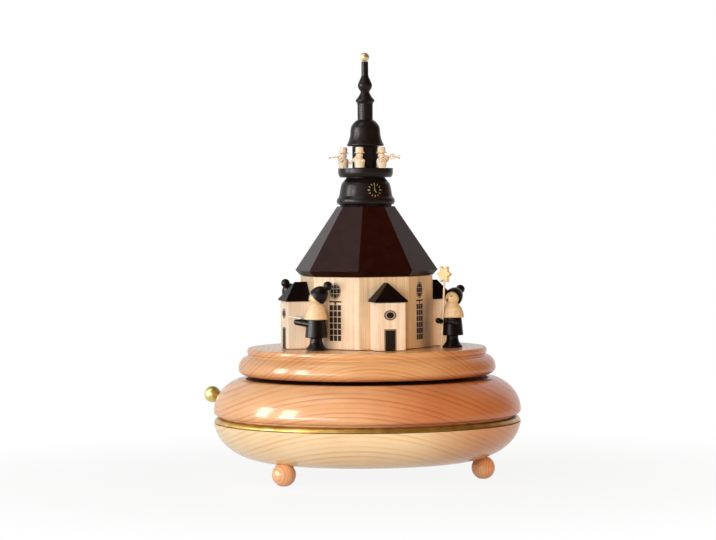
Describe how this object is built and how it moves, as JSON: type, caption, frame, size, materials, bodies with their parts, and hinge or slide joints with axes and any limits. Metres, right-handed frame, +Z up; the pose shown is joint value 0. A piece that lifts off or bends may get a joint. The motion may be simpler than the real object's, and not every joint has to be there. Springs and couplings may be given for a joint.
{
  "type": "music box",
  "caption": "Turned wooden music box with a turntable that carries an octagonal church, tower musicians and carol singers; wound by a key below and stopped by a side knob.",
  "frame": {"origin": "on the turning axis, on the table under the three ball feet", "axes": "+Z up along the turning axis; -Y towards the front porch of the church; +X to the right of someone who looks at that porch"},
  "size_m": [0.1996, 0.1996, 0.2755],
  "materials": {
    "lacquered_wood": "clear gloss lacquer on light orange-brown turned wood",
    "limewood": "natural pale limewood, clear matt varnish",
    "brown_roof_stain": "dark red-brown stain, satin",
    "black_stain": "brown-black stain, satin",
    "gilding": "gold bronze paint on wood",
    "star_yellow": "pale gold paint, satin",
    "painted_book": "white paint on wood, matt",
    "plywood": "raw plywood",
    "brass": "bright brass",
    "steel": "ground steel",
    "spring_steel": "blued spring steel"
  },
  "bodies": {
    "housing": {"foot_front_left": "lacquered_wood", "foot_front_right": "lacquered_wood", "foot_rear": "lacquered_wood", "base_lower": "lacquered_wood", "gold_band": "gilding", "base_upper": "lacquered_wood", "bottom_cover": "plywood", "deck_bush": "brass", "stop_bush": "brass", "bedplate": "brass", "comb": "steel", "governor_frame": "steel", "clutch_spring": "spring_steel"},
    "turntable_body": {"turntable": "lacquered_wood", "turntable_shaft": "steel", "mainspring_barrel": "brass", "mainspring": "spring_steel", "church_walls": "limewood", "church_roof": "brown_roof_stain", "porch_front": "limewood", "porch_right": "limewood", "porch_rear": "limewood", "porch_left": "limewood", "porch_roof_front": "black_stain", "porch_roof_right": "black_stain", "porch_roof_rear": "black_stain", "porch_roof_left": "black_stain", "clock_storey": "black_stain", "balcony": "black_stain", "tower_drum": "black_stain", "tower_cap": "black_stain", "spire_ball": "gilding", "horn_player": "limewood", "hornist": "limewood", "trumpeter": "limewood", "singer_front_coat": "black_stain", "singer_front_head": "limewood", "singer_front_cap": "black_stain", "singer_front_book": "painted_book", "singer_left_coat": "black_stain", "singer_left_head": "limewood", "singer_left_cap": "black_stain", "singer_left_book": "painted_book", "singer_rear_coat": "black_stain", "singer_rear_head": "limewood", "singer_rear_cap": "black_stain", "singer_rear_book": "painted_book", "star_bearer_coat": "black_stain", "star_bearer_head": "limewood", "star_bearer_cap": "black_stain", "star_pole": "limewood", "star": "star_yellow"},
    "key_body": {"winding_key": "brass", "winding_arbor": "steel"},
    "cylinder_body": {"cylinder": "brass"},
    "governor_body": {"governor_wheel": "brass"},
    "fan_body": {"fan_and_worm": "brass"},
    "stop_body": {"stop_rod": "brass", "stop_knob": "gilding"}
  },
  "joints": [
    {"name": "turntable_turn", "type": "hinge", "parent": "housing", "child": "turntable_body", "pos_m": [0, 0, 0.0646], "axis": [0, 0, 1], "continuous": true},
    {"name": "key_wind", "type": "hinge", "parent": "housing", "child": "key_body", "pos_m": [0, 0, 0.02], "axis": [0, 0, 1], "continuous": true},
    {"name": "cylinder_turn", "type": "hinge", "parent": "housing", "child": "cylinder_body", "pos_m": [0, 0, 0.04196], "axis": [-0.5292, 0.8485, 0], "continuous": true},
    {"name": "governor_turn", "type": "hinge", "parent": "housing", "child": "governor_body", "pos_m": [-0.01273, -0.00794, 0.04196], "axis": [-0.5292, 0.8485, 0], "continuous": true},
    {"name": "fan_turn", "type": "hinge", "parent": "housing", "child": "fan_body", "pos_m": [-0.0418, 0.02414, 0.0527], "axis": [0, 0, 1], "continuous": true},
    {"name": "stop_slide", "type": "slide", "parent": "housing", "child": "stop_body", "axis": [-0.866, 0.5, 0], "range_m": [0, 0.005]}
  ],
  "couplings": [
    {"joint": "cylinder_turn", "follows": "turntable_turn", "ratio": 3},
    {"joint": "governor_turn", "follows": "turntable_turn", "ratio": -9},
    {"joint": "fan_turn", "follows": "turntable_turn", "ratio": 180}
  ]
}
